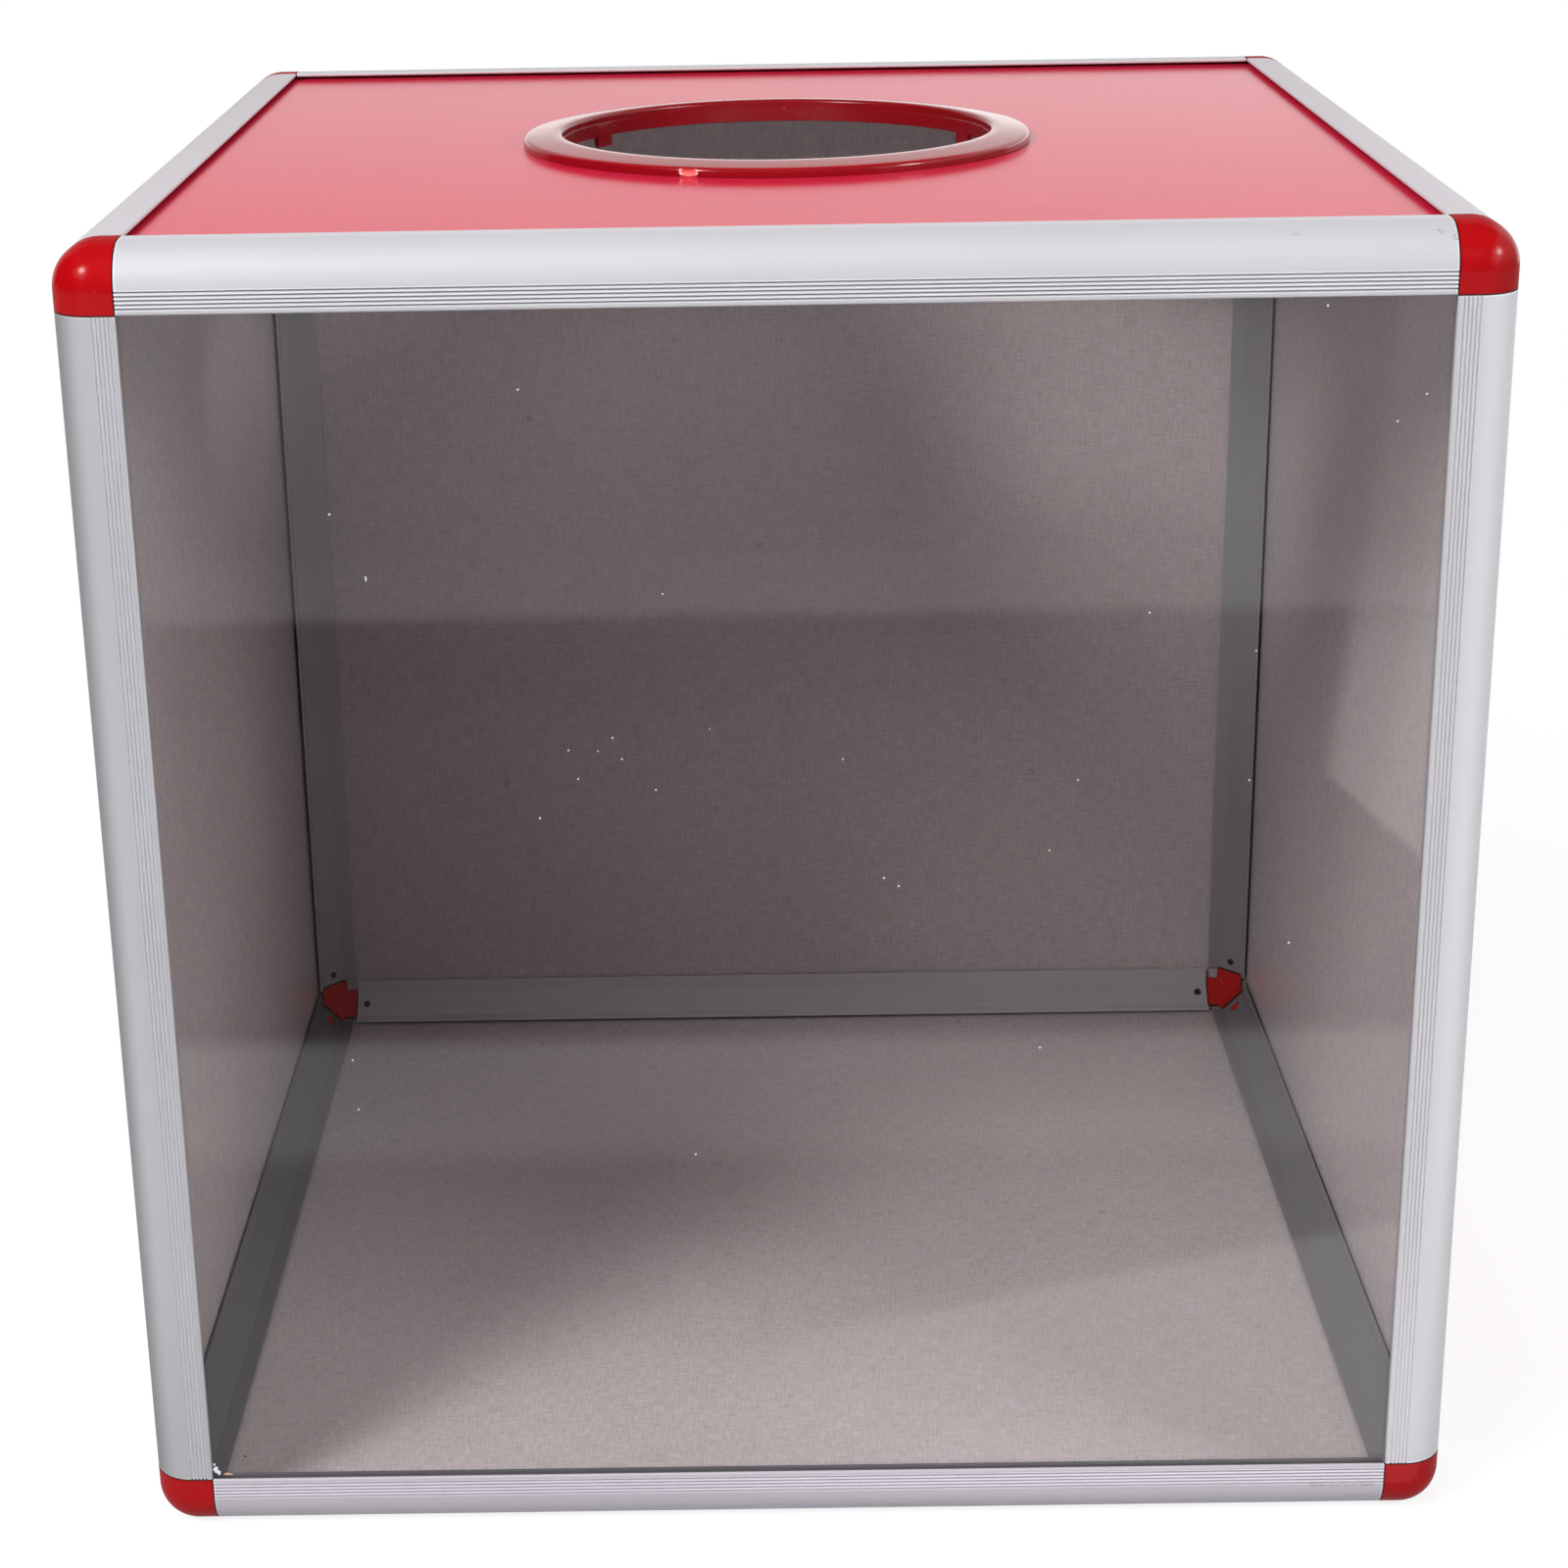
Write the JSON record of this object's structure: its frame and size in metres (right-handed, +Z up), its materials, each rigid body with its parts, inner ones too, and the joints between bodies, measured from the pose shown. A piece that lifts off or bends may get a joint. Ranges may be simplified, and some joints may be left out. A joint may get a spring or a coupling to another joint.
{
  "type": "raffle box",
  "caption": "Free-standing cube box with a rail frame, corner connectors, thin boards, a clear front window and a round hand hole in the top, for drawing tickets.",
  "frame": {"origin": "centre of the base, on the surface that the box stands on", "axes": "+Z up through the hand hole; the clear window faces -Y; +X is to the right when looking at the window"},
  "size_m": [0.3, 0.3, 0.3012],
  "materials": {
    "anodised_aluminium": "satin anodised extrusion, fine die lines along its length",
    "red_plastic": "glossy moulded red plastic",
    "faced_board": "linen-embossed facing, red outside and warm grey inside",
    "clear_acrylic": "clear polished sheet",
    "black_steel": "blackened small screws"
  },
  "bodies": {
    "root": {"rail_top_front": "anodised_aluminium", "rail_top_back": "anodised_aluminium", "rail_top_left": "anodised_aluminium", "rail_top_right": "anodised_aluminium", "rail_bottom_front": "anodised_aluminium", "rail_bottom_back": "anodised_aluminium", "rail_bottom_left": "anodised_aluminium", "rail_bottom_right": "anodised_aluminium", "post_front_left": "anodised_aluminium", "post_front_right": "anodised_aluminium", "post_back_left": "anodised_aluminium", "post_back_right": "anodised_aluminium", "corner_top_front_left": "red_plastic", "corner_top_front_right": "red_plastic", "corner_top_back_left": "red_plastic", "corner_top_back_right": "red_plastic", "corner_bottom_front_left": "red_plastic", "corner_bottom_front_right": "red_plastic", "corner_bottom_back_left": "red_plastic", "corner_bottom_back_right": "red_plastic", "top_board": "faced_board", "bottom_board": "faced_board", "left_board": "faced_board", "right_board": "faced_board", "back_board": "faced_board", "front_window": "clear_acrylic", "hand_hole_ring": "red_plastic", "corner_screws": "black_steel"}
  },
  "joints": []
}
